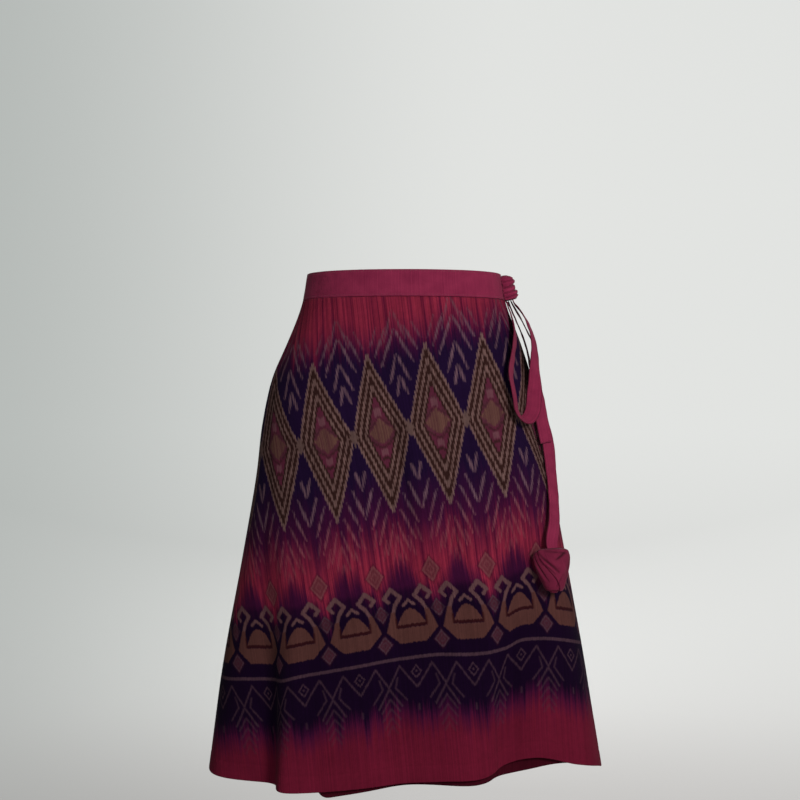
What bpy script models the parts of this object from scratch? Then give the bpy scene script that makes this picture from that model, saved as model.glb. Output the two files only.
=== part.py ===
"""A knee-length wrap skirt in woven cotton, shaped as it is when worn, tied in a bow at the left hip.

Metres, +Z up. The origin is the middle of the waist opening at the waistband's top edge, and the
front faces -Y. Places on the cloth are a turn and a drop. A turn is a share of the way round: 0 is the
middle of the front, 0.25 the wearer's right side (-X), 0.5 the back, 0.75 the wearer's left side (+X)
and 1 the front again, one layer further in, because the cloth laps under itself. A drop is the
distance below the waistband's top edge.
"""

import math
from collections import namedtuple

import bpy
import numpy as np

# Driving sizes
BAND_HEIGHT = 0.035
BAND_THICKNESS = 0.0024
CLOTH_THICKNESS = 0.0012
SEAM_GAP = 0.0003
TIE_THICKNESS = 0.0016
LAP_DEPTH_AT_WAIST = 0.0029
LAP_DEPTH_AT_HEM = 0.0080

# How finely the cloth is divided: a column's share of a turn, and the rows down a panel
PANEL_COLUMN = 0.0105
BAND_COLUMN = 0.0163
PANEL_ROWS = 13

# Where the pieces begin and end, in turns
OVER_EDGE = -0.262
RIGHT_SEAM = 0.250
LEFT_SEAM = 0.725
UNDER_EDGE = 1.085

# The figure's outline at a drop: half its width and depth, how square it is (2 is an ellipse), and how
# far its middle lies towards the wearer's left
Section = namedtuple("Section", "drop half_width half_depth squareness shift")
SECTIONS = (
    Section(0.000, 0.130, 0.088, 2.2, 0.000),
    Section(0.035, 0.136, 0.090, 2.2, 0.000),
    Section(0.096, 0.158, 0.099, 2.4, -0.001),
    Section(0.139, 0.173, 0.105, 2.6, -0.003),
    Section(0.200, 0.185, 0.110, 2.8, -0.004),
    Section(0.263, 0.196, 0.113, 2.8, -0.001),
    Section(0.383, 0.2173, 0.119, 2.8, 0.000),
    Section(0.493, 0.2370, 0.123, 2.7, 0.000),
    Section(0.606, 0.2545, 0.127, 2.6, 0.001),
    Section(0.690, 0.2665, 0.130, 2.6, 0.002),
)

# Soft folds that grow from a drop to the hem: how far one stands out (in, where negative) at the hem
Fold = namedtuple("Fold", "turn_at_start turn_at_hem spread stands_out start")
FOLDS = (
    Fold(0.206, 0.204, 0.026, 0.004, 0.33),
    Fold(0.162, 0.156, 0.024, -0.037, 0.26),
    Fold(0.112, 0.116, 0.018, 0.010, 0.30),
    Fold(0.012, 0.004, 0.018, -0.003, 0.12),
    Fold(-0.062, -0.060, 0.026, 0.007, 0.36),
    Fold(-0.108, -0.110, 0.017, -0.024, 0.34),
    Fold(-0.172, -0.176, 0.034, 0.012, 0.30),
    Fold(0.325, 0.330, 0.028, -0.016, 0.28),
    Fold(0.385, 0.392, 0.034, 0.010, 0.24),
    Fold(0.452, 0.450, 0.024, -0.014, 0.34),
    Fold(0.520, 0.524, 0.032, 0.011, 0.22),
    Fold(0.585, 0.588, 0.024, -0.018, 0.30),
    Fold(0.655, 0.652, 0.032, 0.009, 0.26),
)

# Each panel's hem, which a wrap pulls out of level
HemPoint = namedtuple("HemPoint", "turn drop")
OVER_HEM = (
    HemPoint(-0.262, 0.655),
    HemPoint(-0.235, 0.656),
    HemPoint(-0.200, 0.646),
    HemPoint(-0.165, 0.636),
    HemPoint(-0.132, 0.625),
    HemPoint(-0.102, 0.637),
    HemPoint(-0.072, 0.646),
    HemPoint(-0.035, 0.649),
    HemPoint(0.000, 0.652),
    HemPoint(0.050, 0.660),
    HemPoint(0.105, 0.666),
    HemPoint(0.143, 0.664),
    HemPoint(0.200, 0.660),
    HemPoint(0.250, 0.660),
)
BACK_HEM = (
    HemPoint(0.250, 0.660),
    HemPoint(0.330, 0.665),
    HemPoint(0.500, 0.668),
    HemPoint(0.650, 0.664),
    HemPoint(0.725, 0.658),
)
UNDER_HEM = (
    HemPoint(0.725, 0.658),
    HemPoint(0.800, 0.642),
    HemPoint(0.855, 0.635),
    HemPoint(0.890, 0.648),
    HemPoint(0.930, 0.655),
    HemPoint(1.000, 0.656),
    HemPoint(1.050, 0.667),
    HemPoint(1.085, 0.675),
)
OVER_CORNER_RADIUS = 0.012
UNDER_CORNER_RADIUS = 0.016

# The bow's strips. A lift is the clearance of a strip's nearer edge from the cloth under it, and a twist
# turns the strip about its own length, from lying flat on the cloth
TiePoint = namedtuple("TiePoint", "turn drop lift twist width")
LOOP_PATH = (
    TiePoint(-0.2290, 0.0370, 0.0010, 0, 0.011),
    TiePoint(-0.2275, 0.0430, 0.0012, 0, 0.012),
    TiePoint(-0.212, 0.0610, 0.0016, -10, 0.016),
    TiePoint(-0.186, 0.0830, 0.0018, -24, 0.020),
    TiePoint(-0.163, 0.1060, 0.0015, -34, 0.020),
    TiePoint(-0.143, 0.1360, 0.0012, -37, 0.020),
    TiePoint(-0.1415, 0.1650, 0.0012, -38, 0.020),
    TiePoint(-0.1415, 0.1840, 0.0012, -42, 0.020),
    TiePoint(-0.150, 0.1955, 0.0010, -48, 0.020),
    TiePoint(-0.163, 0.1920, 0.0008, -50, 0.020),
    TiePoint(-0.173, 0.1810, 0.0008, -52, 0.020),
    TiePoint(-0.184, 0.1620, 0.0010, -50, 0.020),
    TiePoint(-0.190, 0.1360, 0.0100, -18, 0.020),
    TiePoint(-0.200, 0.1060, 0.0200, 0, 0.020),
    TiePoint(-0.213, 0.0760, 0.0200, 0, 0.018),
    TiePoint(-0.227, 0.0540, 0.0150, 0, 0.014),
    TiePoint(-0.2325, 0.0430, 0.0108, 0, 0.012),
    TiePoint(-0.2335, 0.0370, 0.0095, 0, 0.011),
)
LONG_TAIL_PATH = (
    TiePoint(-0.2440, 0.0370, 0.0034, 0, 0.011),
    TiePoint(-0.2435, 0.0430, 0.0038, 0, 0.012),
    TiePoint(-0.238, 0.0620, 0.0048, 0, 0.016),
    TiePoint(-0.226, 0.0900, 0.0060, 0, 0.020),
    TiePoint(-0.221, 0.1100, 0.0052, 0, 0.020),
    TiePoint(-0.213, 0.1360, 0.0030, 0, 0.020),
    TiePoint(-0.206, 0.1650, 0.0026, 8, 0.020),
    TiePoint(-0.200, 0.1960, 0.0034, 26, 0.020),
    TiePoint(-0.197, 0.2270, 0.0038, 32, 0.020),
    TiePoint(-0.197, 0.2500, 0.0024, 27, 0.020),
    TiePoint(-0.196, 0.2680, 0.0016, 22, 0.020),
    TiePoint(-0.188, 0.2970, 0.0034, 14, 0.020),
    TiePoint(-0.177, 0.3250, 0.0066, 10, 0.020),
    TiePoint(-0.1645, 0.3460, 0.0105, 13, 0.018),
    TiePoint(-0.1610, 0.3555, 0.0116, 16, 0.0165),
    TiePoint(-0.1605, 0.3605, 0.0116, 16, 0.016),
)
SHORT_TAIL_PATH = (
    TiePoint(-0.2415, 0.0370, 0.0066, 0, 0.011),
    TiePoint(-0.2410, 0.0430, 0.0078, 0, 0.012),
    TiePoint(-0.239, 0.0540, 0.0100, 0, 0.015),
    TiePoint(-0.232, 0.0740, 0.0130, 0, 0.018),
    TiePoint(-0.222, 0.1060, 0.0150, 0, 0.020),
    TiePoint(-0.208, 0.1360, 0.0070, 8, 0.020),
    TiePoint(-0.196, 0.1700, 0.0050, 24, 0.020),
    TiePoint(-0.190, 0.2000, 0.0045, 32, 0.020),
    TiePoint(-0.190, 0.2265, 0.0045, 32, 0.020),
)

# The knot, pinched round its middle, from its top down
KnotRing = namedtuple("KnotRing", "below half_width depth")
KNOT_RINGS = (
    KnotRing(0.0000, 0.0080, 0.0070),
    KnotRing(0.0025, 0.0125, 0.0125),
    KnotRing(0.0090, 0.0145, 0.0160),
    KnotRing(0.0160, 0.0128, 0.0150),
    KnotRing(0.0230, 0.0148, 0.0175),
    KnotRing(0.0300, 0.0140, 0.0170),
    KnotRing(0.0335, 0.0115, 0.0145),
)
KNOT_TURN = -0.238
KNOT_TOP = 0.0026

# The folded bud at the long tail's end, from its top down
BudRing = namedtuple("BudRing", "below half_width half_depth")
BUD_RINGS = (
    BudRing(0.000, 0.0100, 0.0050),
    BudRing(0.004, 0.0185, 0.0085),
    BudRing(0.011, 0.0225, 0.0110),
    BudRing(0.020, 0.0225, 0.0115),
    BudRing(0.032, 0.0185, 0.0110),
    BudRing(0.044, 0.0125, 0.0090),
    BudRing(0.051, 0.0080, 0.0065),
    BudRing(0.055, 0.0050, 0.0035),
)
BUD_TURN = -0.157
BUD_DROP = 0.3605
BUD_LIFT = 0.0148
BUD_LEAN = 14
BUD_DIMPLE = 0.0035
BUD_DIMPLE_LENGTH = 0.012
BUD_DIMPLE_SPREAD = 0.35
PETAL_THICKNESS = 0.0012

# Colours, as linear values
CRIMSON = (0.135, 0.016, 0.036, 1)
NAVY = (0.020, 0.008, 0.032, 1)


def smooth_value(at, places, values):
    """A smooth curve through a short table: cubic pieces whose slopes are the table's own."""
    places = np.asarray(places, float)
    values = np.asarray(values, float)
    slopes = np.gradient(values, places)
    at = np.clip(at, places[0], places[-1])
    left = np.clip(np.searchsorted(places, at, side="right") - 1, 0, len(places) - 2)
    step = places[left + 1] - places[left]
    share = (at - places[left]) / step
    rising = share * share * (3 - 2 * share)
    start_bend = share * (1 - share) ** 2
    end_bend = share * share * (share - 1)
    line = values[left] * (1 - rising) + values[left + 1] * rising
    return line + step * (start_bend * slopes[left] + end_bend * slopes[left + 1])


def column(table, name):
    """One named column of a table of named tuples."""
    return [getattr(row, name) for row in table]


def ease(share):
    """0 to 1 with soft ends."""
    share = np.clip(share, 0, 1)
    return share * share * (3 - 2 * share)


def outline_radius(angle, half_width, half_depth, squareness):
    """The distance from the middle to a rounded-square outline, at an angle from the front."""
    across = np.abs(np.sin(angle) / half_width) ** squareness
    along = np.abs(np.cos(angle) / half_depth) ** squareness
    return (across + along) ** (-1 / squareness)


def angle_table():
    """Turns and their angles, so that equal turns are equal lengths of the hem."""
    angles = np.linspace(0, 2 * math.pi, 1441)
    hem = SECTIONS[-1]
    radius = outline_radius(angles, hem.half_width, hem.half_depth, hem.squareness)
    points = np.stack([radius * np.sin(angles), radius * np.cos(angles)], axis=1)
    lengths = np.linalg.norm(np.diff(points, axis=0), axis=1)
    turns = np.concatenate([[0], np.cumsum(lengths)]) / lengths.sum()
    return turns, angles


TABLE_TURNS, TABLE_ANGLES = angle_table()


def figure_point(turn, drop):
    """A point on the smooth figure with its folds, before any layer or thickness. Arrays work too."""
    turn = np.asarray(turn, float)
    drop = np.asarray(drop, float)
    angle = np.interp(turn % 1, TABLE_TURNS, TABLE_ANGLES)
    drops = column(SECTIONS, "drop")
    values = (smooth_value(drop, drops, column(SECTIONS, name)) for name in Section._fields[1:])
    *sizes, shift = values
    radius = outline_radius(angle, *sizes)
    for fold in FOLDS:
        grown = ease((drop - fold.start) / (SECTIONS[-1].drop - fold.start))
        middle = fold.turn_at_start + (fold.turn_at_hem - fold.turn_at_start) * grown
        away = (turn - middle + 0.5) % 1 - 0.5
        radius = radius + fold.stands_out * grown * np.exp(-((away / fold.spread) ** 2))
    return np.stack([shift - radius * np.sin(angle), -radius * np.cos(angle), -drop], axis=-1)


def outward(turn, drop):
    """The unit normal of the figure's surface."""
    small_turn, small_drop = 0.002, 0.002
    turn = np.asarray(turn, float)
    drop = np.asarray(drop, float)
    along = figure_point(turn + small_turn, drop) - figure_point(turn - small_turn, drop)
    down = figure_point(turn, drop + small_drop) - figure_point(turn, drop - small_drop)
    normal = np.cross(along, down)
    return normal / np.linalg.norm(normal, axis=-1, keepdims=True)


def skin(turn, drop, out):
    """A point on the figure, moved out along its normal."""
    return figure_point(turn, drop) + outward(turn, drop) * np.asarray(out, float)[..., None]


def lap_depth(turn, drop):
    """How far in the cloth lies at a turn: nothing up to the right seam, the whole lap past the left."""
    share = ease((np.asarray(turn, float) - RIGHT_SEAM) / (LEFT_SEAM - RIGHT_SEAM))
    down = np.clip((np.asarray(drop, float) - BAND_HEIGHT) / (SECTIONS[-1].drop - BAND_HEIGHT), 0, 1)
    return share * (LAP_DEPTH_AT_WAIST + (LAP_DEPTH_AT_HEM - LAP_DEPTH_AT_WAIST) * down)


def turn_length(drop):
    """The length of one whole turn at a drop."""
    points = figure_point(np.linspace(0, 1, 721), np.full(721, drop))
    return float(np.linalg.norm(np.diff(points, axis=0), axis=1).sum())


WAIST_LENGTH = turn_length(0)
HEM_LENGTH = turn_length(SECTIONS[-1].drop)
HALF_SEAM = SEAM_GAP / 2 / WAIST_LENGTH


def material(name, colour, roughness):
    """A plain cloth finish."""
    finish = bpy.data.materials.new(name)
    finish.use_nodes = True
    shader = finish.node_tree.nodes["Principled BSDF"]
    shader.inputs["Base Color"].default_value = colour
    shader.inputs["Roughness"].default_value = roughness
    shader.inputs["Metallic"].default_value = 0.0
    return finish


def new_object(name, points, faces, finish):
    """A smooth-shaded mesh object from points and faces."""
    mesh = bpy.data.meshes.new(name)
    mesh.from_pydata([tuple(p) for p in points], [], faces)
    mesh.materials.append(finish)
    mesh.update()
    mesh.shade_smooth()
    made = bpy.data.objects.new(name, mesh)
    bpy.context.scene.collection.objects.link(made)
    return made


def grid_faces(columns, rows):
    """Quads over a grid whose points run down each column in turn."""
    corners = []
    for i in range(columns - 1):
        for j in range(rows - 1):
            here = i * rows + j
            corners.append((here, here + rows, here + rows + 1, here + 1))
    return corners


def tube_faces(rings, sides):
    """Quads round a closed body whose rings run along it, with a flat face at each end."""
    faces = [tuple(reversed(range(sides)))]
    for i in range(rings - 1):
        for k in range(sides):
            here, beside = i * sides + k, i * sides + (k + 1) % sides
            faces.append((here, beside, beside + sides, here + sides))
    faces.append(tuple((rings - 1) * sides + k for k in range(sides)))
    return faces


def thicken(made, thickness):
    """Gives a sheet its wall, inward from the face that shows."""
    wall = made.modifiers.new("Cloth wall", "SOLIDIFY")
    wall.thickness = thickness
    wall.offset = -1
    return made


def rounded_corner(turn, edge, radius):
    """How much a hem rises where its corner is rounded off beside a free edge."""
    from_edge = np.clip(np.abs(turn - edge) * HEM_LENGTH, 0, radius)
    return radius - np.sqrt(radius**2 - (radius - from_edge) ** 2)


def corner_turns(edge, radius, inward):
    """Extra columns for a rounded corner, as turns from the free edge inward."""
    arc = np.radians([25, 50, 70])
    return [edge + inward * radius * (1 - math.cos(a)) / HEM_LENGTH for a in arc]


def even_turns(start, end, step):
    """Turns from a start to an end, about a step apart."""
    return np.linspace(start, end, round((end - start) / step) + 1)


def panel(name, turns, hem, finish, corner=None):
    """A skirt panel over the given turns, from the waistband down to its hem."""
    turns = np.sort(np.asarray(turns))
    low = smooth_value(turns, column(hem, "turn"), column(hem, "drop"))
    if corner:
        low = low - rounded_corner(turns, *corner)
    top = BAND_HEIGHT + SEAM_GAP
    drops = top + np.linspace(0, 1, PANEL_ROWS) * (low[:, None] - top)
    round_way = np.repeat(turns[:, None], PANEL_ROWS, axis=1)
    points = skin(round_way, drops, -lap_depth(round_way, drops))
    made = new_object(name, points.reshape(-1, 3), grid_faces(len(turns), PANEL_ROWS), finish)
    return thicken(made, CLOTH_THICKNESS)


def over_panel(finish):
    """The front that shows: from its free edge at the wearer's left hip to the right side seam."""
    even = even_turns(OVER_EDGE, RIGHT_SEAM - HALF_SEAM, PANEL_COLUMN)
    extra = corner_turns(OVER_EDGE, OVER_CORNER_RADIUS, 1)
    return panel("front_over", [*even, *extra], OVER_HEM, finish, (OVER_EDGE, OVER_CORNER_RADIUS))


def back_panel(finish):
    """The back, between the two side seams."""
    even = even_turns(RIGHT_SEAM + HALF_SEAM, LEFT_SEAM - HALF_SEAM, PANEL_COLUMN)
    return panel("back", even, BACK_HEM, finish)


def under_panel(finish):
    """The front that laps under: from the left side seam to its free edge inside."""
    even = even_turns(LEFT_SEAM + HALF_SEAM, UNDER_EDGE, PANEL_COLUMN)
    extra = corner_turns(UNDER_EDGE, UNDER_CORNER_RADIUS, -1)
    return panel("front_under", [*even, *extra], UNDER_HEM, finish, (UNDER_EDGE, UNDER_CORNER_RADIUS))


def waistband(finish):
    """One folded strip that winds round the waist once and a third, over itself at the front."""
    turns = even_turns(OVER_EDGE, UNDER_EDGE, BAND_COLUMN)
    drops = np.array([0.0, BAND_HEIGHT / 2, BAND_HEIGHT])
    round_way, down = np.meshgrid(turns, drops, indexing="ij")
    stands_out = (BAND_THICKNESS - CLOTH_THICKNESS) / 2
    points = skin(round_way, down, stands_out - lap_depth(round_way, down))
    made = new_object("waistband", points.reshape(-1, 3), grid_faces(len(turns), len(drops)), finish)
    return thicken(made, BAND_THICKNESS)


def strip_frames(path, steps):
    """Points along a strip's middle, its widths, and the directions across it and out of it."""
    along = np.arange(len(path), dtype=float)
    at = np.linspace(0, len(path) - 1, steps)
    values = (smooth_value(at, along, column(path, name)) for name in TiePoint._fields)
    turn, drop, lift, twist, width = values
    twist = np.radians(twist)
    normal = outward(turn, drop)
    clear = lift + width / 2 * np.abs(np.sin(twist)) + TIE_THICKNESS / 2
    middle = figure_point(turn, drop) + normal * clear[:, None]
    ahead = np.gradient(middle, axis=0)
    ahead /= np.linalg.norm(ahead, axis=1, keepdims=True)
    flat = np.cross(normal, ahead)
    flat /= np.linalg.norm(flat, axis=1, keepdims=True)
    up = np.cross(ahead, flat)
    across = flat * np.cos(twist)[:, None] + up * np.sin(twist)[:, None]
    return middle, width[:, None], across, np.cross(ahead, across)


def strip(name, path, steps, finish):
    """A flat sewn strip along a path over the cloth, closed at both ends."""
    middle, width, across, out = strip_frames(path, steps)
    wide = across * width / 2
    thick = out * TIE_THICKNESS / 2
    corners = [middle - wide - thick, middle + wide - thick, middle + wide + thick, middle - wide + thick]
    points = np.stack(corners, axis=1).reshape(-1, 3)
    made = new_object(name, points, tube_faces(steps, len(corners)), finish)
    made.data.set_sharp_from_angle(angle=math.radians(40))
    return made


def knot_point(below, around):
    """A point on the knot: flat against the waistband behind, and round in front."""
    places = column(KNOT_RINGS, "below")
    half_width = smooth_value(below, places, column(KNOT_RINGS, "half_width"))
    depth = smooth_value(below, places, column(KNOT_RINGS, "depth"))
    seat = (BAND_THICKNESS - CLOTH_THICKNESS) / 2 + 1.5 * SEAM_GAP
    sideways = half_width * np.cos(around) / WAIST_LENGTH
    out = seat + depth * np.maximum(np.sin(around), 0) ** 0.8
    return skin(KNOT_TURN - sideways, KNOT_TOP + below, out)


def knot(finish):
    """The bow's knot, on the waistband at the wearer's left hip."""
    sides = 16
    below = np.interp(np.linspace(0, 6, 11), range(len(KNOT_RINGS)), column(KNOT_RINGS, "below"))
    around = 2 * math.pi * np.arange(sides) / sides
    points = knot_point(*np.meshgrid(below, around, indexing="ij"))
    return new_object("tie_knot", points.reshape(-1, 3), tube_faces(len(below), sides), finish)


def bud_axes():
    """Where the bud's top is, and its directions: across it, down it and out of its front."""
    middle = BUD_RINGS[-1].below / 2
    out = outward(BUD_TURN, BUD_DROP + middle)
    across = np.cross(out, np.array([0.0, 0.0, -1.0]))
    across /= np.linalg.norm(across)
    down = np.cross(across, out)
    top = skin(BUD_TURN, BUD_DROP + middle, BUD_LIFT) - down * middle
    lean = math.radians(BUD_LEAN)
    leaning_across = across * math.cos(lean) + out * math.sin(lean)
    return top, leaning_across, down, out * math.cos(lean) - across * math.sin(lean)


def bud_surface(below, around):
    """A point on the bud's body, at a distance below its top and an angle from its left side over its front."""
    top, across, down, out = bud_axes()
    places = column(BUD_RINGS, "below")
    half_width = smooth_value(below, places, column(BUD_RINGS, "half_width"))
    half_depth = smooth_value(below, places, column(BUD_RINGS, "half_depth"))
    near_middle = np.exp(-((np.cos(around) / BUD_DIMPLE_SPREAD) ** 2))
    dimple = BUD_DIMPLE * near_middle * np.exp(-((below / BUD_DIMPLE_LENGTH) ** 2))
    sideways = half_width * np.cos(around)
    forwards = half_depth * np.sin(around)
    lower = below + dimple
    return top + sideways[..., None] * across + forwards[..., None] * out + lower[..., None] * down


def bud_skin(below, around, out):
    """A point on the bud's body, moved out along its normal."""
    small_below, small_angle = 0.0004, 0.02
    down = bud_surface(below + small_below, around) - bud_surface(below - small_below, around)
    along = bud_surface(below, around + small_angle) - bud_surface(below, around - small_angle)
    normal = np.cross(along, down)
    normal /= np.linalg.norm(normal, axis=-1, keepdims=True)
    return bud_surface(below, around) + normal * out[..., None]


def bud_body(finish):
    """The bud's plump heart: rings down its length, with a dimple between its two lobes."""
    rings, sides = 13, 20
    below = BUD_RINGS[-1].below * ease(np.linspace(0, 1, rings))
    around = 2 * math.pi * np.arange(sides) / sides
    points = bud_surface(*np.meshgrid(below, around, indexing="ij"))
    return new_object("bud_body", points.reshape(-1, 3), tube_faces(rings, sides), finish)


def bud_petal(name, start, ends, outs, finish):
    """A petal wrapped round the bud from a fixed angle to a slanting free edge, its stand-off easing
    from the first of outs to the last."""
    columns, rows = 13, 11
    first, last = BUD_RINGS[1].below, BUD_RINGS[-2].below
    down = np.linspace(first, last, rows)
    share = np.linspace(0, 1, columns)
    edge = np.radians(ends[0] + (ends[1] - ends[0]) * np.linspace(0, 1, rows))
    around = math.radians(start) + (edge[None, :] - math.radians(start)) * share[:, None]
    below = np.repeat(down[None, :], columns, axis=0)
    out = outs[0] + (outs[1] - outs[0]) * ease((share[:, None] - 0.15) / 0.35) + 0 * below
    faces = grid_faces(columns, rows)
    if start > ends[0]:
        faces = [tuple(reversed(face)) for face in faces]
    made = new_object(name, bud_skin(below, around, out).reshape(-1, 3), faces, finish)
    return thicken(made, PETAL_THICKNESS)


def build():
    """Clears the scene and makes every piece."""
    for old in list(bpy.data.objects):
        bpy.data.objects.remove(old)
    printed = material("printed cotton", NAVY, 0.85)
    plain = material("plain crimson cotton", CRIMSON, 0.8)
    over_panel(printed)
    back_panel(printed)
    under_panel(printed)
    waistband(plain)
    strip("tie_loop", LOOP_PATH, 46, plain)
    strip("tie_tail_long", LONG_TAIL_PATH, 34, plain)
    strip("tie_tail_short", SHORT_TAIL_PATH, 20, plain)
    knot(plain)
    bud_body(plain)
    snug = SEAM_GAP + PETAL_THICKNESS
    bud_petal("bud_petal_under", 245, (60, 40), (snug, snug), plain)
    bud_petal("bud_petal_over", -65, (150, 78), (snug, 2 * snug), plain)


build()
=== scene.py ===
import math

import bmesh
import bpy
import numpy as np
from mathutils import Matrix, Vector


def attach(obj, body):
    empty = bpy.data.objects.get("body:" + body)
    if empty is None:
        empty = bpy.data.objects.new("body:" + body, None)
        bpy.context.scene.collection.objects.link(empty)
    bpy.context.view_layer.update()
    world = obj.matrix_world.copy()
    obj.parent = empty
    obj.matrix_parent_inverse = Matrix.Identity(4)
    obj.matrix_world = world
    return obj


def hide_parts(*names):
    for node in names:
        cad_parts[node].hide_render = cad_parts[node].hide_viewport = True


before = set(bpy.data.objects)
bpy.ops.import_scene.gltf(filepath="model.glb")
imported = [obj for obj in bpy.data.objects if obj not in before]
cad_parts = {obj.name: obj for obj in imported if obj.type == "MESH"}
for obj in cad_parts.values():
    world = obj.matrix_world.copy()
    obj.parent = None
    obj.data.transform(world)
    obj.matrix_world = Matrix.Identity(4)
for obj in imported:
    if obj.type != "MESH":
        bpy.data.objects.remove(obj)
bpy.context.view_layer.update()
print("frame loaded:", len(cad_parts), "solids")


# Four-cornered faces between each closed ring of points and the next
def ringFaces(count, ring):
    index = np.arange(count * ring).reshape(count, ring)
    nextRing = np.roll(index, -1, axis=1)
    return np.stack([index[:-1], index[1:], nextRing[1:], nextRing[:-1]], axis=-1).reshape(-1, 4).tolist()


# A smooth mesh whose faces look outwards, with the cloth's own places kept on its points
def newMesh(name, points, faces, finish, places=None):
    mesh = bpy.data.meshes.new(name)
    mesh.from_pydata(points, [], faces)
    shell = bmesh.new()
    shell.from_mesh(mesh)
    bmesh.ops.recalc_face_normals(shell, faces=shell.faces)
    shell.to_mesh(mesh)
    shell.free()
    mesh.materials.append(finish)
    if places is not None:
        kept = mesh.attributes.new("clothPlace", "FLOAT_VECTOR", "POINT")
        kept.data.foreach_set("vector", np.asarray(places, np.float32).ravel())
    mesh.shade_smooth()
    return putInScene(name, mesh)


def putInScene(name, thing, place=(0, 0, 0)):
    made = bpy.data.objects.new(name, thing)
    bpy.context.scene.collection.objects.link(made)
    made.location = place
    return made


def newFinish(name):
    finish = bpy.data.materials.new(name)
    finish.use_nodes = True
    tree = finish.node_tree
    return finish, tree, tree.nodes["Principled BSDF"]


def setSockets(node, values):
    for socket, value in values.items():
        node.inputs[socket].default_value = value


# A number that varies over a surface
class Field:
    def __init__(self, tree, socket):
        self.tree, self.socket = tree, socket

    def math(self, operation, *values, clamp=False):
        node = self.tree.nodes.new("ShaderNodeMath")
        node.operation, node.use_clamp = operation, clamp
        for slot, value in zip(node.inputs, values):
            if isinstance(value, Field):
                self.tree.links.new(value.socket, slot)
            else:
                slot.default_value = value
        return Field(self.tree, node.outputs[0])

    def __abs__(self): return self.math("ABSOLUTE", self)
    def floor(self): return self.math("FLOOR", self, 0)
    def sine(self): return self.math("SINE", self, 0)
    def root(self): return self.math("SQRT", self, 0)
    def timesPlus(self, times, plus, clamp=False): return self.math("MULTIPLY_ADD", self, times, plus, clamp=clamp)

    # 1 where this is below a limit, with an edge that is soft over a width
    def below(self, limit, soft):
        return (self - limit).timesPlus(-1 / soft, 0.5, clamp=True)

    # 0 at a start and 1 at an end
    def rise(self, start, end):
        return (self - start).timesPlus(1 / (end - start), 0, clamp=True)

    # 1 between two limits
    def between(self, low, high, soft):
        return abs(self - (low + high) / 2).below((high - low) / 2, soft)

    def texture(self, kind, source, settings, result="Fac", **sorts):
        node = self.tree.nodes.new(kind)
        for sort, value in sorts.items():
            setattr(node, sort, value)
        setSockets(node, settings)
        self.tree.links.new(source, node.inputs["W" if sorts else "Vector"])
        return Field(self.tree, node.outputs[result])

    def noise(self, scale, seed, detail=1):
        return self.texture("ShaderNodeTexNoise", (self + seed).socket, {"Scale": scale, "Detail": detail},
                            noise_dimensions="1D")

    # Soft patches over the cloth, with this across it and another field down it
    def cloud(self, down, scale, seed, detail=1):
        place = self.tree.nodes.new("ShaderNodeCombineXYZ")
        self.tree.links.new(self.socket, place.inputs[0])
        self.tree.links.new(down.socket, place.inputs[1])
        place.inputs[2].default_value = seed
        return self.texture("ShaderNodeTexNoise", place.outputs[0], {"Scale": scale, "Detail": detail})

    def scatter(self, seed):
        return self.texture("ShaderNodeTexWhiteNoise", (self + seed).socket, {}, "Value", noise_dimensions="1D")


# Plain arithmetic on fields. The lower of two is written &, and the higher |.
for sign, operation in (("add", "ADD"), ("sub", "SUBTRACT"), ("mul", "MULTIPLY"), ("truediv", "DIVIDE"),
                        ("and", "MINIMUM"), ("or", "MAXIMUM")):
    setattr(Field, f"__{sign}__", lambda self, other, operation=operation: self.math(operation, self, other))
    setattr(Field, f"__r{sign}__", lambda self, other, operation=operation: self.math(operation, other, self))


# Mixes one colour into another by a share of the cloth, or multiplies them
def blendColour(under, over, share, tree=None, sort="MIX"):
    tree = tree or share.tree
    node = tree.nodes.new("ShaderNodeMix")
    node.data_type, node.blend_type = "RGBA", sort
    for slot, value in ((node.inputs["Factor"], share), (node.inputs[6], under), (node.inputs[7], over)):
        if isinstance(value, Field):
            value = value.socket
        if isinstance(value, (tuple, int)):
            slot.default_value = value
        else:
            tree.links.new(value, slot)
    return node.outputs[2]


# Makes a colour lighter or darker over the cloth
def shaded(colour, tone):
    grey = tone.tree.nodes.new("ShaderNodeCombineColor")
    for slot in grey.inputs[:3]:
        tone.tree.links.new(tone.socket, slot)
    return blendColour(colour, grey.outputs[0], 1, tone.tree, "MULTIPLY")


# The three numbers of a place, each as a field
def placeFields(tree, source):
    split = tree.nodes.new("ShaderNodeSeparateXYZ")
    tree.links.new(source, split.inputs[0])
    return [Field(tree, split.outputs[k]) for k in range(3)]


# The camera looks straight at the front from 1.9 m, level with the hips
camera = {"place": (-0.0054, -1.9, -0.16875), "lens": 63.333, "sensor": 36}
studio = {
    "floor": -1.09,
    "flatRadius": 2.4,
    "wallRadius": 4.2,
    "wallHeight": 5,
    "sides": 96,
    "paint": (0.144, 0.146, 0.143, 1),
    "glow": 4.4,
    # painted shade: the wall's colour on its shaded side
    "shadedSide": (0.083, 0.088, 0.085, 1),
    "shadeEnds": (-2.2, 0.6),  # across
    "paintedFloorShade": (0.6, 0.58, 0.58, 1),  # painted shade on the floor: share of the paint's lightness before the wall
    "floorShadeEnds": (1.8, 3.9),  # distances over which it comes back
    "sky": {"Color": (0.93, 0.96, 1, 1), "Strength": 0.32},
    "lampsAim": (0, 0, -0.35),
    # name, place, size, power, colour
    "lamps": (
        ("keyLamp", (1.5, -2.6, 0.9), 1, 165, (1, 0.985, 0.96)),
        ("fillLamp", (-0.7, -2.9, -0.1), 1.6, 24, (0.95, 0.97, 1)),
        ("backLamp", (0, 2.8, 0.8), 1.8, 110, (1, 1, 1)),
    ),
}


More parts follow.
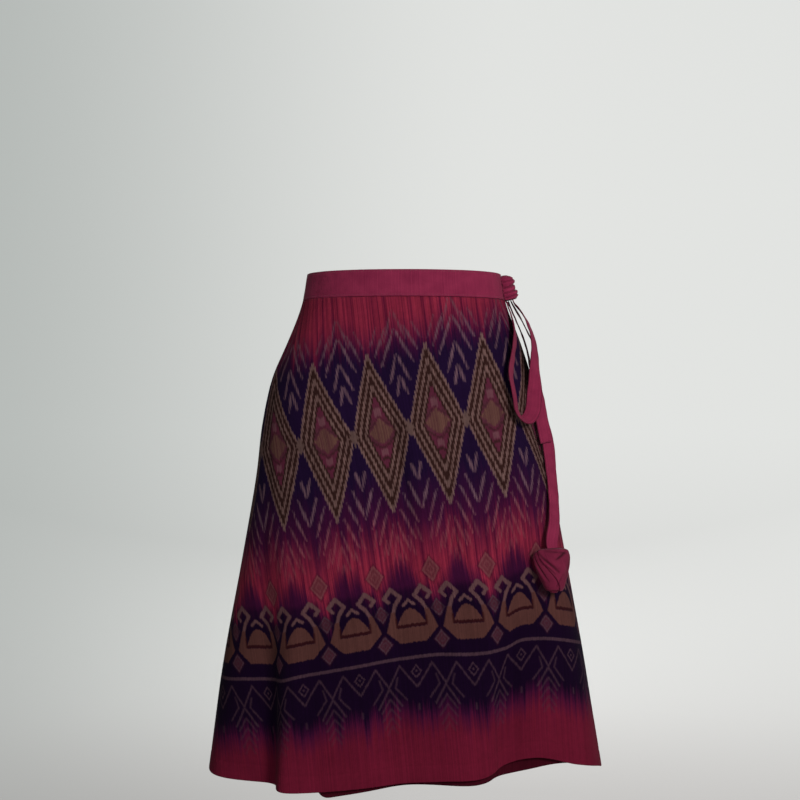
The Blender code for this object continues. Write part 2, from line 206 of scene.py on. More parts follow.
def setUpLights():
    scene = bpy.context.scene
    scene.view_settings.view_transform = "Standard"
    lens = bpy.data.cameras.new("photoCamera")
    lens.lens, lens.sensor_width = camera["lens"], camera["sensor"]
    scene.camera = putInScene("photoCamera", lens, camera["place"])
    scene.camera.rotation_euler = (math.radians(90), 0, 0)
    sky = bpy.data.worlds.new("softSky")
    sky.use_nodes = True
    setSockets(sky.node_tree.nodes["Background"], studio["sky"])
    scene.world = sky
    for name, place, size, power, colour in studio["lamps"]:
        lamp = bpy.data.lights.new(name, "AREA")
        lamp.shape, lamp.size, lamp.energy, lamp.color = "DISK", size, power, colour
        aim = Vector(studio["lampsAim"]) - Vector(place)
        putInScene(name, lamp, place).rotation_euler = aim.to_track_quat("-Z", "Y").to_euler()


# Painted shade: the wall's paint and glow are a little darker towards the wearer's right, as a plain wall beside a
# window is in shade
def makeStudioPaint():
    finish, tree, shader = newFinish("studioPaint")
    x, y, z = placeFields(tree, tree.nodes.new("ShaderNodeTexCoord").outputs["Object"])
    side = x.rise(*studio["shadeEnds"])
    wall = blendColour(studio["shadedSide"], studio["paint"], side * side * (3 - side * 2))
    # Painted shade: the floor is darker near the middle and lighter towards the wall
    near = (x * x + y * y + z * z).root().rise(*studio["floorShadeEnds"])
    colour = blendColour(blendColour(studio["paintedFloorShade"], (1, 1, 1, 1), near), wall, 1, tree, "MULTIPLY")
    for socket in ("Base Color", "Emission Color"):
        tree.links.new(colour, shader.inputs[socket])
    setSockets(shader, {"Roughness": 0.9, "Specular IOR Level": 0.1, "Emission Strength": studio["glow"]})
    return finish


# A round floor that sweeps up into the wall, open above
def makeStudioFloor():
    flat, bend, sides = studio["flatRadius"], studio["wallRadius"] - studio["flatRadius"], studio["sides"]
    sweep = [(r, 0) for r in np.linspace(0.02, flat, 8)]
    sweep += [(flat + bend * math.sin(a), bend * (1 - math.cos(a))) for a in np.linspace(0.1, math.pi / 2, 16)]
    sweep.append((studio["wallRadius"], studio["wallHeight"]))
    around = 2 * math.pi * np.arange(sides) / sides
    points = [(r * math.cos(a), r * math.sin(a), studio["floor"] + z) for r, z in sweep for a in around]
    faces = ringFaces(len(sweep), sides) + [list(range(sides))]
    newMesh("studioFloor", points, faces, makeStudioPaint())


setUpLights()
makeStudioFloor()
print("studio ready")

# The figure inside the cloth. A turn is a share of the way round: 0 front middle, 0.25 the wearer's right,
# 0.5 the back, 0.75 the wearer's left, 1 the front again a layer further in. A drop is the distance below
# the waistband's top edge.
figure = {
    # drop, half width, half depth, squareness, shift
    "sections": (
        (0, 0.13, 0.088, 2.2, 0), (0.035, 0.136, 0.09, 2.2, 0), (0.096, 0.158, 0.099, 2.4, -0.001),
        (0.139, 0.173, 0.105, 2.6, -0.003), (0.2, 0.185, 0.11, 2.8, -0.004), (0.263, 0.196, 0.113, 2.8, -0.001),
        (0.383, 0.2173, 0.119, 2.8, 0), (0.493, 0.237, 0.123, 2.7, 0), (0.606, 0.2545, 0.127, 2.6, 0.001),
        (0.69, 0.2665, 0.13, 2.6, 0.002),
    ),
    # turn where a fold starts, its turn at the hem, its spread, how far it stands out there, the drop it starts at
    "folds": (
        (0.206, 0.204, 0.026, 0.004, 0.33), (0.162, 0.156, 0.028, -0.031, 0.26), (0.112, 0.116, 0.018, 0.01, 0.3),
        (0.012, 0.004, 0.018, -0.003, 0.12), (-0.062, -0.06, 0.026, 0.007, 0.36),
        (-0.108, -0.11, 0.022, -0.02, 0.34), (-0.172, -0.176, 0.034, 0.012, 0.3),
        (0.325, 0.33, 0.028, -0.016, 0.28), (0.385, 0.392, 0.034, 0.01, 0.24), (0.452, 0.45, 0.024, -0.014, 0.34),
        (0.52, 0.524, 0.032, 0.011, 0.22), (0.585, 0.588, 0.024, -0.018, 0.3), (0.655, 0.652, 0.032, 0.009, 0.26),
    ),
    "rightSeam": 0.25,
    "leftSeam": 0.725,
    "overEdge": -0.262,
    "underEdge": 1.085,
    "bandEdge": 0.035,  # the drop of the waistband's lower edge
    "lapAtWaist": 0.0029,
    "lapAtHem": 0.008,
}


# A smooth curve through a short table, whose slopes are the table's own
def smoothCurve(at, places, values):
    places, values = np.asarray(places, float), np.asarray(values, float)
    slopes = np.gradient(values, places)
    at = np.clip(at, places[0], places[-1])
    left = np.clip(np.searchsorted(places, at, side="right") - 1, 0, len(places) - 2)
    step = places[left + 1] - places[left]
    share = (at - places[left]) / step
    rising = share * share * (3 - 2 * share)
    line = values[left] * (1 - rising) + values[left + 1] * rising
    return line + step * (share * (1 - share) ** 2 * slopes[left] + share * share * (share - 1) * slopes[left + 1])


# 0 to 1 with soft ends
def ease(share):
    share = np.clip(share, 0, 1)
    return share * share * (3 - 2 * share)


# 1 on a line, and less and less away from it
def ridge(away, halfWidth):
    return np.exp(-((away / halfWidth) ** 2))


# 0 at an edge and 1 past it, along a quarter of a circle
def roundEdge(share):
    return np.sqrt(1 - (1 - np.clip(share, 0, 1)) ** 2)


def unit(vectors):
    return vectors / np.linalg.norm(vectors, axis=-1, keepdims=True)


# Length along a line of points, from its first one
def lengthAlong(points):
    return np.concatenate([[0], np.cumsum(np.linalg.norm(np.diff(points, axis=0), axis=1))])


def outlineRadius(angle, halfWidth, halfDepth, squareness):
    across = np.abs(np.sin(angle) / halfWidth) ** squareness
    along = np.abs(np.cos(angle) / halfDepth) ** squareness
    return (across + along) ** (-1 / squareness)


# Turns and their angles, so that equal turns are equal lengths of the hem
def angleTable():
    angles = np.linspace(0, 2 * math.pi, 1441)
    radius = outlineRadius(angles, *figure["sections"][-1][1:4])
    run = lengthAlong(np.stack([radius * np.sin(angles), radius * np.cos(angles)], axis=1))
    return run / run[-1], angles


tableTurns, tableAngles = angleTable()
sectionColumns = [np.array(c) for c in zip(*figure["sections"])]
lowestDrop = figure["sections"][-1][0]


def figurePoint(turn, drop):
    turn, drop = np.asarray(turn, float), np.asarray(drop, float)
    angle = np.interp(turn % 1, tableTurns, tableAngles)
    halfWidth, halfDepth, squareness, shift = (smoothCurve(drop, sectionColumns[0], c) for c in sectionColumns[1:])
    radius = outlineRadius(angle, halfWidth, halfDepth, squareness)
    for startTurn, hemTurn, spread, standsOut, start in figure["folds"]:
        grown = ease((drop - start) / (lowestDrop - start))
        away = (turn - (startTurn + (hemTurn - startTurn) * grown) + 0.5) % 1 - 0.5
        radius = radius + standsOut * grown * ridge(away, spread)
    return np.stack([shift - radius * np.sin(angle), -radius * np.cos(angle), -drop], axis=-1)


# The direction out of the cloth
def outward(turn, drop, step=0.002):
    along = figurePoint(turn + step, drop) - figurePoint(turn - step, drop)
    down = figurePoint(turn, drop + step) - figurePoint(turn, drop - step)
    return unit(np.cross(along, down))


def skin(turn, drop, out):
    return figurePoint(turn, drop) + outward(turn, drop) * np.asarray(out, float)[..., None]


# How far in a layer lies: nothing up to the right seam, the whole lap past the left one
def lapDepth(turn, drop):
    share = ease((turn - figure["rightSeam"]) / (figure["leftSeam"] - figure["rightSeam"]))
    down = np.clip((drop - figure["bandEdge"]) / (lowestDrop - figure["bandEdge"]), 0, 1)
    return share * (figure["lapAtWaist"] + (figure["lapAtHem"] - figure["lapAtWaist"]) * down)


def turnLength(drop):
    return float(lengthAlong(figurePoint(np.linspace(0, 1, 721), np.full(721, drop)))[-1])


waistLength, hemLength = turnLength(0), turnLength(lowestDrop)


# An even, repeatable wobble between -1 and 1 along one or two directions
def wobble(across, down, seed):
    draw = np.random.default_rng(seed)
    total = 0
    for _ in range(6):
        turned = draw.uniform(0.5, 1.6, 2) * draw.choice([-1, 1], 2)
        total = total + np.sin(across * turned[0] + down * turned[1] + draw.uniform(0, 2 * math.pi))
    return total / 6


# Soft creases in the cloth: turn and drop where one starts, turn and drop where it ends, half its width,
# and how far it stands out
creases = (
    (0.17, 0.3, 0.158, 0.66, 0.011, -0.0016), (0.138, 0.36, 0.133, 0.66, 0.01, 0.0013),
    (0.012, 0.17, -0.004, 0.31, 0.007, -0.0026), (-0.008, 0.2, -0.022, 0.34, 0.01, 0.0014),
    (0.055, 0.3, 0.04, 0.6, 0.016, 0.0011), (-0.036, 0.34, -0.034, 0.62, 0.014, -0.0009),
    (-0.085, 0.4, -0.092, 0.64, 0.008, 0.0012), (-0.124, 0.4, -0.128, 0.63, 0.008, 0.001),
    (-0.205, 0.07, -0.15, 0.24, 0.007, -0.0012), (-0.225, 0.09, -0.185, 0.3, 0.008, 0.0012),
    (-0.18, 0.06, -0.105, 0.17, 0.007, 0.001), (-0.15, 0.06, -0.06, 0.13, 0.007, -0.0008),
    (0.215, 0.08, 0.19, 0.32, 0.01, 0.0012), (0.195, 0.1, 0.165, 0.3, 0.008, -0.0009),
    (0.34, 0.08, 0.35, 0.34, 0.01, -0.0013), (0.405, 0.06, 0.42, 0.3, 0.009, 0.0012),
    (0.48, 0.08, 0.478, 0.4, 0.009, -0.0012), (0.55, 0.07, 0.545, 0.32, 0.009, 0.0012),
    (0.615, 0.08, 0.62, 0.36, 0.01, -0.0013), (0.69, 0.1, 0.68, 0.36, 0.01, 0.0012),
    (0.36, 0.36, 0.362, 0.66, 0.01, 0.0014), (0.42, 0.34, 0.42, 0.66, 0.009, -0.0014),
    (0.488, 0.38, 0.486, 0.66, 0.009, 0.0013), (0.555, 0.36, 0.556, 0.66, 0.009, -0.0013),
    (0.62, 0.38, 0.622, 0.66, 0.01, 0.0013), (0.7, 0.36, 0.697, 0.66, 0.01, -0.0013),
)
gathers = {"height": 0.0005, "reach": 0.022}


# How far the cloth stands out from the smooth figure
def relief(turn, drop):
    out = 0.0009 * wobble(turn * 34, drop * 13, 5) + 0.0004 * wobble(turn * 90, drop * 34, 8)
    for turnA, dropA, turnB, dropB, halfWidth, height in creases:
        along = np.clip((drop - dropA) / (dropB - dropA), -0.4, 1.4)
        away = (turn - (turnA + (turnB - turnA) * along) + 0.5) % 1 - 0.5
        share = ease((along + 0.25) / 0.5) * ease((1.25 - along) / 0.5)
        out = out + height * share * ridge(away * hemLength, halfWidth)
    gathered = np.exp(-np.clip(drop - figure["bandEdge"], 0, 1) / gathers["reach"])
    pucker = gathers["height"] * wobble(turn * 420, drop * 60, 11) * gathered
    return out * ease((drop - 0.03) / 0.05) + pucker


# A closed mesh of closed rings of points. A thin ring is closed face to face at each end of the row, and not
# with one long face.
def ringMesh(name, points, places, finish, thin=False):
    count, ring = points.shape[:2]
    faces = ringFaces(count, ring)
    side = ring // 2 - 1
    for end in (list(range(ring)), list(range((count - 1) * ring, count * ring))):
        if thin:
            faces += [[end[k + 1], end[k], end[2 * side - k], end[2 * side - k - 1]] for k in range(side - 1)]
            faces += [end[side - 1:side + 2], [end[0], end[2 * side + 1], end[2 * side]]]
        else:
            faces.append(end)
    return newMesh(name, points.reshape(-1, 3).tolist(), faces, finish, places)


# Hangs a piece on the root, and hides the solid of the CAD that it stands for
def bindPiece(made, node):
    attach(made, "root")
    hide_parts(node)


# A colour as it looks on a screen, as the dye's own value under these lamps
def dye(red, green, blue, strength=0.42):
    def toLinear(c):
        c /= 255
        return c / 12.92 if c <= 0.04045 else ((c + 0.055) / 1.055) ** 2.4
    return tuple(strength * toLinear(c) for c in (red, green, blue)) + (1,)


# Where a point lies on the cut cloth, across and down in metres, and how light its colour is painted there, which
# carries painted shade and painted highlight
def clothPlaces(tree):
    node = tree.nodes.new("ShaderNodeAttribute")
    node.attribute_name = "clothPlace"
    return placeFields(tree, node.outputs["Vector"])


# The height of crossing threads in plain weave
def plainWeave(across, down, thread):
    return (across * (2 * math.pi / thread)).sine() * (down * (2 * math.pi / thread)).sine()


# Gives a cloth's shader its colour, its sockets and the bump of its threads
def finishCloth(shader, colour, sockets, height=None, strength=0):
    links = shader.id_data.links
    links.new(colour, shader.inputs["Base Color"])
    setSockets(shader, sockets)
    if height:
        bump = shader.id_data.nodes.new("ShaderNodeBump")
        setSockets(bump, {"Strength": strength, "Distance": 0.00025})
        links.new(height.socket, bump.inputs["Height"])
        links.new(bump.outputs["Normal"], shader.inputs["Normal"])


# The ikat cloth. Its chart is in squares of the weaver's draft, across from the middle of a diamond and down
# from the thin stripe.
ikat = {
    "squareAcross": 0.001294,
    "squareDown": 0.001267,
    "repeat": 56.1,
    "diamondRow": -225.5,  # the row of the big diamonds' middles
    "threadBundle": 0.0011,
    "tiedBundle": 0.0022,  # bundles tied together where the big diamonds are
    "smallShift": 0.9,  # squares that a bundle may slip along its length
    "largeShift": 2.6,
    "thread": 0.0007,
    "crimson": dye(129, 35, 56),
    "darkCrimson": dye(80, 14, 40),
    "hemCrimson": dye(96, 19, 40),
    "purple": dye(55, 10, 43),
    "navy": dye(25, 9, 39),
    "lowNavy": dye(18, 3, 26),
    "taupe": dye(66, 45, 55),
    "pale": dye(104, 78, 75),
    "hull": dye(76, 45, 42),
    "dark": dye(44, 24, 22),
    "plum": dye(74, 35, 47),
    "magenta": dye(86, 26, 50),
    "shield": dye(94, 63, 55),
    "shieldRose": dye(74, 40, 44),
    "tab": dye(98, 60, 68),
    "crossing": dye(90, 68, 64),
    "flame": dye(96, 70, 80),
    "hotFlame": dye(128, 66, 74),
    "lozengeShade": dye(44, 12, 28),
    "neck": dye(88, 60, 62),
    "mouth": dye(44, 13, 15),
    # The middle row of each lozenge, half its width and height, its fill and its line
    "lozenges": (
        (-84, 8.4, 12.2, dye(90, 38, 47), dye(104, 54, 60)), (-46.1, 7, 8.6, dye(62, 28, 40), dye(66, 45, 55)),
        (-15.3, 7, 8.6, dye(62, 28, 40), dye(66, 45, 55)),
    ),
    "sockets": {"Roughness": 0.95, "Sheen Weight": 0.004, "Sheen Roughness": 0.45, "Specular IOR Level": 0.02},
}


# The highest of many lines drawn on the chart, which can taper towards their ends. Each has its field across,
# where it starts and ends, its width and how strong it is.
def drawnLines(lines, v, soft, taper=0, under=None):
    for q, fromQ, fromV, toQ, toV, width, share in lines:
        run, fall = toQ - fromQ, toV - fromV
        square = run * run + fall * fall
        awayQ, awayV = q - fromQ, v - fromV
        along = awayQ.timesPlus(run / square, awayV * (fall / square), clamp=True)
        offQ, offV = along.timesPlus(-run, awayQ), along.timesPlus(-fall, awayV)
        away = offQ.timesPlus(offQ, offV * offV).root()
        if taper:
            fromMiddle = along * 2 - 1
            away = fromMiddle.timesPlus(fromMiddle * taper, away)
        line = away.below(width / 2, soft)
        line = line if share == 1 else line * share
        under = under | line if under else line
    return under


def makeIkat():
    finish, tree, shader = newFinish("ikatCotton")
    across, down, shade = clothPlaces(tree)
    sizes = ikat["threadBundle"], ikat["threadBundle"] / 2, ikat["tiedBundle"]
    bundle, threadNo, tied = ((across * (1 / size)).floor() for size in sizes)
    slip = ((bundle.scatter(0.5) - 0.5) + (threadNo.scatter(40.5) - 0.5) * 0.8) * ikat["smallShift"]
    squaresDown = down * (1 / ikat["squareDown"])
    v = squaresDown + slip
    half = ikat["repeat"] / 2

    def fromDiamond(step, size):  # squares from the nearest diamond's middle
        stepped = (step + 0.5) * (size / ikat["squareAcross"])
        return stepped.math("PINGPONG", stepped, half)

    q = fromDiamond(bundle, sizes[0])
    j = half - q  # squares from the nearest meeting of two diamonds

    # The big motifs are tied in thicker bundles, which slip further
    tiedSlip = ((tied.scatter(0.5) - 0.5) + (bundle.scatter(3.5) - 0.5) * 0.6) * ikat["largeShift"]
    bigV = squaresDown + tiedSlip
    bigQ = fromDiamond(tied, sizes[2])
    bigJ = half - bigQ

    # Where the dyer's crimson runs into the navy, thread by thread, with purple between
    streak = (across.noise(110, 3, 3) - 0.5) * 28 + (bundle.scatter(7.5) - 0.5) * 11
    streak = streak + (across.noise(22, 9) - 0.5) * 24
    fadeV = v + streak
    top = (fadeV - j * 0.5).rise(-349, -301)
    toCrimson = (fadeV + j * 0.3).rise(-152, -92)
    toNavy = (fadeV - q * 1.2).rise(-104, -72)
    toHem = (v + streak * 0.8 + q * 0.35).rise(48, 84)
    upper = (1 - top) | (toCrimson & (1 - toNavy))
    navy = blendColour(ikat["navy"], ikat["lowNavy"], v.rise(-110, -50))
    specks = across.noise(190, 21, 2) + (squaresDown * 0.02 + threadNo * 0.31).noise(1, 17) * 0.5
    flecks = specks.rise(0.62, 1.02)
    crimson = blendColour(ikat["crimson"], ikat["darkCrimson"], flecks)
    plumBelow = (fadeV + j * 0.3).rise(-182, -132) & (1 - toNavy)
    colour = blendColour(navy, ikat["purple"], plumBelow * 0.8)

    def lay(over, share):
        nonlocal colour
        colour = blendColour(colour, ikat[over] if isinstance(over, str) else over, share)

    lay("purple", upper.rise(0, 0.45))
    lay(crimson, upper.rise(0.33, 0.98))
    bloom = ((v + streak * 0.5 - q * 0.5).between(-99, -62, 16) & q.below(11, 8)) * 0.8
    lay("purple", bloom & toNavy)
    lay("purple", toHem.rise(0, 0.42))
    hemTone = blendColour(ikat["hemCrimson"], ikat["darkCrimson"], flecks * (1 - v.rise(60, 100)) * 0.9)
    lay(hemTone, toHem.rise(0.28, 0.9))

    # The big diamonds
    w = v + tiedSlip * 0.75 - ikat["diamondRow"]
    d = bigQ / half + abs(w) / 82
    lay("dark", d.below(0.99, 0.03))
    bands = d.between(0.932, 1.018, 0.03) | d.between(0.737, 0.821, 0.03) | d.between(0.54, 0.62, 0.03)
    heart = d.below(0.465, 0.03)
    lay("plum", heart)
    rosy = heart & (w.between(-46, -27, 3) | w.between(10, 38, 3) | (w + bigQ * 1.2).between(-20, -8, 4))
    lay("magenta", rosy * 0.45)
    shield = (bigQ / 12.5 + abs(w + 1.5) / 13.5).below(1, 0.15)
    rose = (bundle + tied * 0.5).scatter(12.5) * 0.6 + (across * 700 + squaresDown * 0.7).noise(1, 9) * 0.6
    lay(blendColour(ikat["shield"], ikat["shieldRose"], rose.rise(0.3, 1)), shield)
    darkSpot = (bigQ.below(3.4, 1) & w.between(24.5, 27.5, 1.5)) * 0.8
    darkLines = ((bigQ, 0, 16, 10, 7, 1.8, 0.6), (bigQ, 0, -17, 9, -8, 1.4, 0.45))
    lay("dark", drawnLines(darkLines, w, 1.3, under=darkSpot) & heart)
    tabs = (bigQ.below(3, 0.9) & (w.between(-25, -16.5, 2) | w.between(16.5, 23, 2))) & heart
    lay("tab", tabs * 0.8)
    # Each band is a braid of paler and darker ties
    braid = bundle.scatter(55.5) * 0.5 + (across * 900 + squaresDown * 0.5).noise(1, 2) * 0.7 + 0.22
    lay("pale", bands * braid)
    lay("crossing", (bigJ / 4.6 + abs(w) / 8.5).below(1, 0.25) * 0.85)

    # Arrow heads and flames in the navy above and below each meeting of two diamonds
    arrows = drawnLines((
        (bigJ, 0.4, -279, 4.8, -261, 2.9, 1), (bigJ, 0.4, -302, 9.6, -274, 2.6, 1),
        (bigJ, 0.6, -328, 15.5, -292, 2.5, 0.85), (bigJ, 9, -331, 20.5, -303, 2.4, 0.7),
        (bigJ, 0.6, -348, 11, -316, 2.2, 0.5), (bigJ, 17, -333, 25, -313, 2, 0.45),
        (bigJ, 0.4, -174, 4.8, -191, 2.9, 1), (bigJ, 0.4, -145, 9.8, -173, 2.6, 1),
        (bigJ, 5.5, -133, 16.5, -162, 2.4, 0.85), (bigJ, 10, -116, 21.5, -148, 2.3, 0.75),
        (bigJ, 16.5, -104, 26, -134, 2.2, 0.6), (bigJ, 12, -100, 17, -119, 2, 0.45),
        (bigJ, 4, -112, 9, -132, 2, 0.4), (bigQ, 0, -122, 7, -96, 2, 0.45), (bigQ, 0, -104, 3.5, -90, 1.8, 0.3),
    ), bigV, 1.6, 0.7)
    outside = d.rise(1, 1.05)
    flame = blendColour(ikat["flame"], ikat["hotFlame"], toCrimson.rise(0, 0.7))
    lay(flame, (arrows & outside) * (bundle.scatter(66.5) * 0.6 + 0.5))

    # Lozenges in the crimson and between the birds
    for middle, halfAcross, halfDown, fill, line in ikat["lozenges"]:
        away = j / halfAcross + abs(v - middle) / halfDown
        lay("lozengeShade", away.below(1.26, 0.2) * 0.45)
        lay(fill, away.below(1, 0.14))
        lay(line, (away.between(0.8, 1.04, 0.14) | away.between(0.3, 0.48, 0.14) * 0.7) * 0.9)

    # The two-headed birds
    b = v + 28.6
    lowerSide = (q + (b - 1) * 0.98).below(25.5, 1.2)
    upperSide = (q + (1 - b) * 0.36).below(25.5, 1.2)
    hollow = q.below(14.9, 1) & b.below(-1.2, 1)
    hull = (lowerSide & upperSide & b.between(-18, 13.8, 1.2)) & (1 - hollow)
    dome = (b - (q * q) * 0.0775).rise(-20.4, -19.2) & b.below(-4.2, 1.2)
    necks = drawnLines((
        (q, 17.6, -15, 13.2, -25.2, 3.4, 1), (q, 13.2, -25.2, 7.2, -32.4, 3.7, 1), (q, 7.2, -32.4, 15.1, -41, 4, 1),
        (q, 15.1, -41, 22.9, -32.8, 4, 1), (q, 22.9, -32.8, 19.2, -28.6, 3.4, 1), (q, 0, -28.2, 5.4, -23.6, 2.8, 1),
    ), b, 1.2)
    lay("lowNavy", (q.below(24, 2) & b.between(-40, 4, 6)) * 0.6)
    lay("neck", necks * (bundle.scatter(71.5) * 0.3 + 0.8))
    lay("hull", hull | dome)
    mouth = (b.between(-4.4, -1.6, 1) & q.below(15.6, 0.8)) | (q.between(14, 15.8, 0.8) & b.between(-11, -2, 1.5))
    lay("mouth", mouth * 0.9)

    # The thin stripe, and the zigzag under it
    zigzag = drawnLines((
        (q, 0, 29.5, 16.2, 7, 1.6, 0.72), (q, 16.2, 7, 28.05, 27.4, 1.6, 0.72), (j, 9, 18.5, 6.3, 28, 1.6, 0.55),
        (j, 6.3, 28, 16.2, 40.5, 1.6, 0.6), (j, 0, 28.5, 11.4, 46.5, 1.9, 0.62), (j, 0, 38.5, 8.8, 51, 1.7, 0.5),
        (j, 0, 48, 8.5, 59, 1.7, 0.42), (j, 0, 57, 7, 67, 1.7, 0.34), (j, 0, 65, 5, 73, 1.7, 0.26),
        (q, 0, 47, 0, 52, 1.8, 0.5),
    ), v, 1.4, under=(v - slip * 0.6).between(-1.55, 1.55, 1.1))
    ring = q / 5.6 + abs(v - 14.2) / 7
    zigzag = zigzag | (ring.between(0.7, 1.02, 0.15) | ring.below(0.24, 0.12)) * 0.7
    lay("taupe", zigzag * (bundle.scatter(75.5) * 0.3 + 0.74))

    # Uneven dye along the threads, blotches, single pale and dark threads, and the weave itself
    lengthways = (threadNo * 0.37 + down * 6).noise(1, 61)
    blotch = across.cloud(down, 26, 0.3, 3) * 0.42 + across.cloud(down, 160, 2.7) * 0.22
    weave = plainWeave(across, down, ikat["thread"])
    tone = threadNo.scatter(80.5) * 0.22 + bundle.scatter(90.5) * 0.14 + across.noise(45, 31, 2) * 0.2
    # The cloth's painted shade and painted highlight darken or lighten the tone
    tone = (tone + lengthways * 0.2 + blotch + weave * 0.03 + 0.3) * shade
    finishCloth(shader, shaded(colour, tone), ikat["sockets"], weave + threadNo.scatter(101.5) * 0.8, 0.25)
    print("ikat cotton:", len(tree.nodes), "nodes")
    return finish


plain = {
    "crimson": dye(140, 42, 73),
    "deep": dye(104, 21, 52),
    "thread": 0.0006,
    "sockets": {"Roughness": 0.9, "Sheen Weight": 0.02, "Sheen Roughness": 0.4, "Specular IOR Level": 0.05},
}


def makePlain():
    finish, tree, shader = newFinish("plainCotton")
    across, down, shade = clothPlaces(tree)
    weave = plainWeave(across, down, plain["thread"])
    slub = (across + (down * 40).noise(1, 5) * 0.002).noise(700, 12, 2)
    share = (slub * 0.6 + across.cloud(down, 60, 4, 3) * 0.7 - 0.25) + weave * 0.08
    # darkened or lightened by the painted shade and painted highlight kept on the cloth's points
    colour = shaded(blendColour(plain["deep"], plain["crimson"], share.rise(0, 0.75)), shade)
    finishCloth(shader, colour, plain["sockets"], weave + slub * 1.2, 0.3)
    return finish


thread = {
    "light": dye(128, 44, 68),
    "dark": dye(84, 20, 40),
    "sockets": {"Roughness": 0.6, "Sheen Weight": 0.05, "Specular IOR Level": 0.2},
}


def makeThread():
    finish, tree, shader = newFinish("sewingThread")
    across, down = clothPlaces(tree)[:2]
    twist = ((down * 1800 + across * 700) * 2).sine()
    finishCloth(shader, blendColour(thread["dark"], thread["light"], twist.rise(-1, 1)), thread["sockets"])
    return finish


ikatCotton, plainCotton, sewingThread = makeIkat(), makePlain(), makeThread()
print("cloths dyed")

# Each panel: where it starts and ends, its hem, how its rows of pattern lie, the painted shade on its hem, and how
# it was cut
panels = {
    "frontOver": {
        "start": figure["overEdge"],
        "end": figure["rightSeam"],
        "freeEdge": figure["overEdge"],
        "corner": 0.012,
        "columns": 205,
        "hem": (
            (-0.262, 0.655), (-0.235, 0.656), (-0.2, 0.646), (-0.165, 0.636), (-0.132, 0.625), (-0.102, 0.637),
            (-0.072, 0.646), (-0.035, 0.649), (0, 0.652), (0.05, 0.66), (0.105, 0.666), (0.143, 0.664),
            (0.2, 0.659), (0.225, 0.656), (0.25, 0.65),
        ),
        "diamonds": (
            (-0.262, 0.192), (-0.2, 0.187), (-0.1084, 0.1885), (-0.0422, 0.1979), (0.02, 0.2112),
            (0.0829, 0.2228), (0.13, 0.2295), (0.18, 0.233), (0.25, 0.236),
        ),
        "stripe": (
            (-0.262, 0.5), (-0.225, 0.4915), (-0.1941, 0.4842), (-0.168, 0.4778), (-0.1508, 0.4746),
            (-0.1357, 0.4738), (-0.1228, 0.4751), (-0.1105, 0.4836), (-0.0914, 0.4882), (-0.0745, 0.4897),
            (-0.0467, 0.4899), (-0.0332, 0.4901), (-0.0057, 0.4944), (0.0222, 0.4997), (0.0497, 0.5064),
            (0.0775, 0.5129), (0.1034, 0.5197), (0.1175, 0.5248), (0.1585, 0.5292), (0.1814, 0.5309),
            (0.1953, 0.5328), (0.25, 0.533),
        ),
        "middle": 0,
        "lean": 0.14,
        "hemShade": 1,
        "columnAt": -0.0233,
        "node": "front_over",
        "flat": (0.7, 0.64),
    },
    "backPanel": {
        "start": figure["rightSeam"],
        "end": figure["leftSeam"],
        "freeEdge": None,
        "columns": 165,
        "hem": ((0.25, 0.65), (0.28, 0.658), (0.33, 0.664), (0.5, 0.668), (0.65, 0.664), (0.725, 0.658)),
        "diamonds": ((0.25, 0.236), (0.33, 0.24), (0.5, 0.243), (0.65, 0.24), (0.725, 0.236)),
        "stripe": ((0.25, 0.533), (0.33, 0.537), (0.5, 0.54), (0.65, 0.536), (0.725, 0.53)),
        "middle": 0.4875,
        "lean": 0,
        "hemShade": 1,
        "columnAt": 0,
        "node": "back",
        "flat": (0.66, 0.64),
    },
    "frontUnder": {
        "start": figure["leftSeam"],
        "end": figure["underEdge"],
        "freeEdge": figure["underEdge"],
        "corner": 0.016,
        "columns": 130,
        "hem": (
            (0.725, 0.658), (0.8, 0.642), (0.855, 0.635), (0.89, 0.648), (0.93, 0.655), (1, 0.656),
            (1.05, 0.667), (1.085, 0.675),
        ),
        "diamonds": ((0.725, 0.236), (0.8, 0.222), (0.89, 0.222), (1, 0.228), (1.085, 0.242)),
        "stripe": ((0.725, 0.53), (0.8, 0.513), (0.855, 0.506), (0.93, 0.522), (1, 0.526), (1.085, 0.54)),
        "middle": 0.93,
        "lean": -0.05,
        # painted shade on the under panel's hem, which hangs behind the over panel
        "hemShade": 0.34,
        "columnAt": 0.01,
        "node": "front_under",
        "flat": (0.5, 0.65),
    },
}
cloth = {
    "thickness": 0.0008,
    "foldThickness": 0.0007,
    "hemFold": 0.021,
    "edgeFold": 0.009,
    "seamFold": 0.012,
    "seamDip": 0.0006,
    "top": 0.0353,
    "rows": 150,
    # painted shade: how light the inside faces are painted
    "wrongSide": 0.8,
    "share": 0.86,  # of a panel's flat rectangle
    # The finer rows and columns, in metres from the hem, the free edge and a seam
    "hemRows": (0.024, 0.0225, 0.0215, 0.0208, 0.0195, 0.0165, 0.013, 0.0095, 0.006, 0.0032, 0.0014, 0.0005, 0.0001),
    "edgeColumns": (0.00015, 0.0005, 0.0012, 0.0022, 0.0038, 0.0058, 0.0075, 0.0085, 0.0095),
    "seamColumns": (0.0002, 0.0008, 0.0018, 0.0032),
    # The weaver's columns bend to one side round the diamonds: how far down the cloth, shift, slope and bow
    "columnBend": (
        (-0.43, 0.0088, -0.031, -0.18), (-0.38, 0.0088, -0.031, -0.18), (-0.286, 0.0012, -0.01, 0),
        (-0.184, 0.0039, -0.012, 0), (-0.106, 0.0039, 0, 0), (-0.05, 0.0008, 0, 0),
    ),
}


def tableCurve(table, at):
    places, values = zip(*table)
    return smoothCurve(at, places, values)


# Length round the cloth at each row, from the panel's middle, towards the wearer's left
def lengthRound(points, turns, middle):
    step = np.hypot(*np.moveaxis(np.diff(points[..., :2], axis=0), -1, 0))
    run = np.concatenate([np.zeros((1, points.shape[1])), np.cumsum(step, axis=0)])
    return np.array([np.interp(middle, turns, run[:, k]) for k in range(run.shape[1])]) - run


